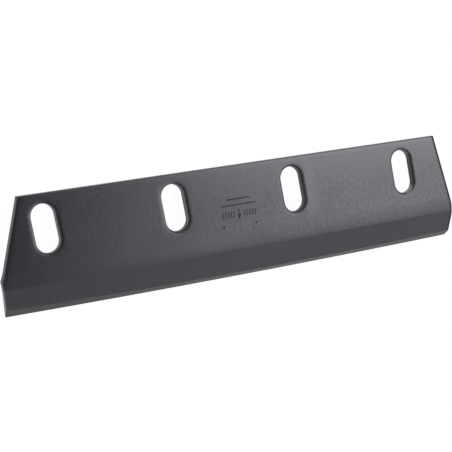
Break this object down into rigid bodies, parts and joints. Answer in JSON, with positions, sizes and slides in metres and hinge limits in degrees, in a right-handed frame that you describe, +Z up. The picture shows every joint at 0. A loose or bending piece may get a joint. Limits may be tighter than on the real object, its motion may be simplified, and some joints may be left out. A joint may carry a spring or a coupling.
{
  "type": "chopping knife",
  "caption": "Long bent steel chopping knife for a forage harvester drum, with slotted bolt holes, skewed ends and a ground cutting edge.",
  "frame": {"origin": "on the table under the middle of the knife, which lies on its back edge and its cutting edge", "axes": "+X along the knife towards the end with the wider margin, +Y across it towards the back edge, +Z up out of the outer face"},
  "size_m": [0.3886, 0.0922, 0.0189],
  "materials": {
    "hardened_steel": "dark oiled skin, satin"
  },
  "bodies": {
    "root": {"chopping_knife": "hardened_steel"}
  },
  "joints": []
}
